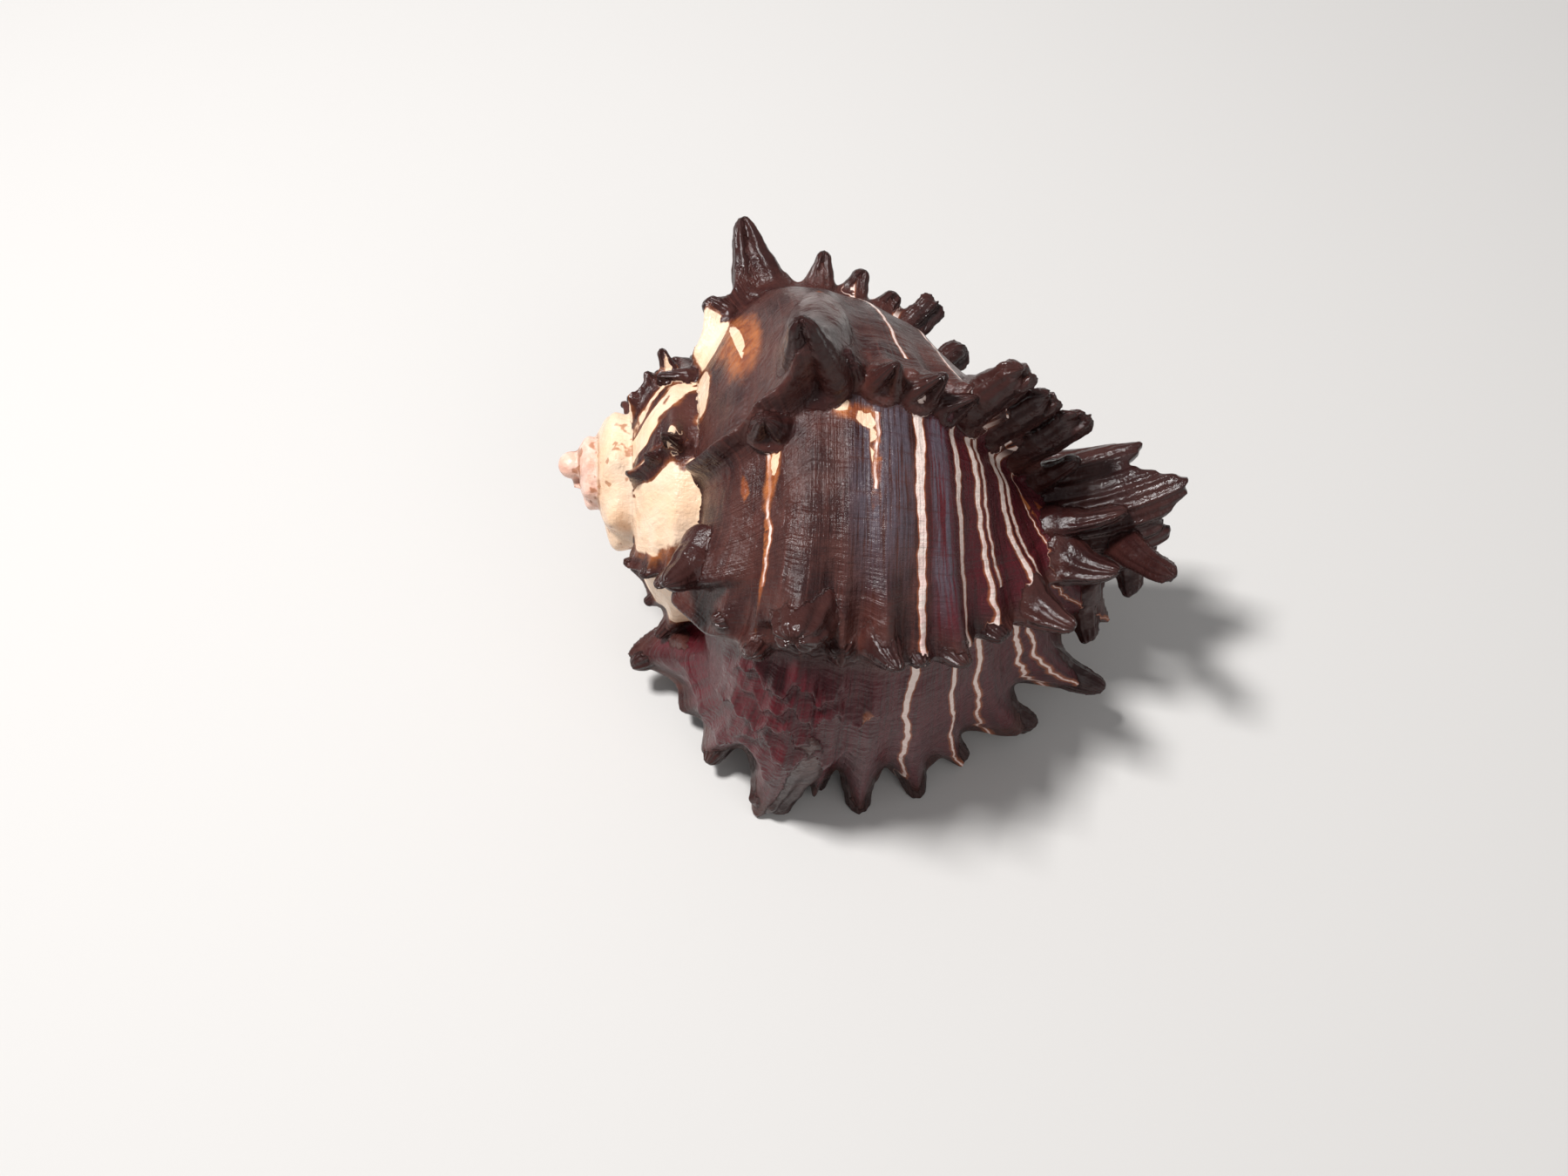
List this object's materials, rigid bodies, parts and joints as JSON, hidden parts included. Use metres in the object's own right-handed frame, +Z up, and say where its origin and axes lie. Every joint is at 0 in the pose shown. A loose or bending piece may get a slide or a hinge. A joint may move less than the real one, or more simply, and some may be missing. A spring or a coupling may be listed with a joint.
{
  "type": "murex shell",
  "caption": "Large dark murex shell resting mouth down, with frilled ridges, folded spines, pale spiral stripes, a worn cream spire and a bent canal.",
  "frame": {"origin": "centre of the shell's outline from above, on the ground it rests on", "axes": "+X from the tip of the spire towards the canal, +Z up with the shell lying mouth down, the outer lip on the -Y side"},
  "size_m": [0.1205, 0.0934, 0.0933],
  "materials": {
    "shell": null
  },
  "bodies": {
    "root": {"murex_shell": "shell"}
  },
  "joints": []
}
